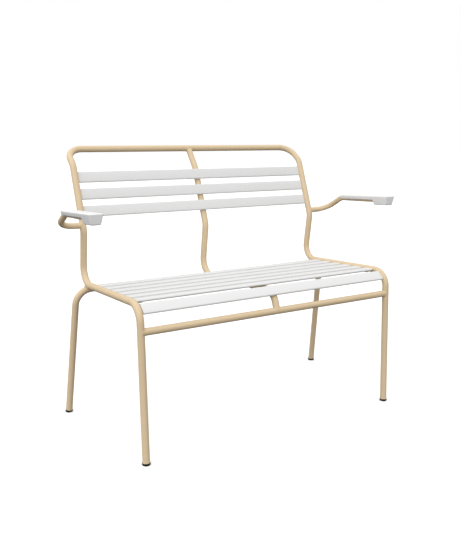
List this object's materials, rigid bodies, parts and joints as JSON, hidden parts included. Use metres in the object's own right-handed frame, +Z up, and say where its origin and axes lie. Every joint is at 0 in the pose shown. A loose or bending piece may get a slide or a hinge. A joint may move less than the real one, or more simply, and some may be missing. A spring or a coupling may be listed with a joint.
{
  "type": "garden bench",
  "caption": "Garden bench with a bent tube frame, slatted seat and back, open tube arms under moulded pads, splayed rear legs and plastic glides.",
  "frame": {"origin": "on the ground, at the middle of the overall box", "axes": "+X along the bench to the right as seen from the front, the front faces -Y, +Z up"},
  "size_m": [1.1098, 0.5919, 0.8688],
  "materials": {
    "tube": "satin champagne powder coat on steel tube",
    "slat": "smooth off-white",
    "pad": "smooth white moulding",
    "glide": "black moulding",
    "screw": "zinc plated"
  },
  "bodies": {
    "root": {"side_tube_left": "tube", "side_tube_right": "tube", "top_rail": "tube", "front_cross_rail": "tube", "centre_tube": "tube", "rear_leg_left": "tube", "rear_leg_right": "tube", "arm_tube_left": "tube", "arm_tube_right": "tube", "arm_pad_left": "pad", "arm_pad_right": "pad", "seat_slat_1": "slat", "seat_slat_2": "slat", "seat_slat_3": "slat", "seat_slat_4": "slat", "seat_slat_5": "slat", "seat_slat_6": "slat", "seat_slat_front": "slat", "back_slat_1": "slat", "back_slat_2": "slat", "back_slat_3": "slat", "slat_lugs_left": "tube", "slat_lugs_right": "tube", "lug_screws_left": "screw", "lug_screws_right": "screw", "centre_screws": "screw", "pad_screw_left": "screw", "pad_screw_right": "screw", "glide_front_left": "glide", "glide_front_right": "glide", "glide_rear_left": "glide", "glide_rear_right": "glide"}
  },
  "joints": []
}
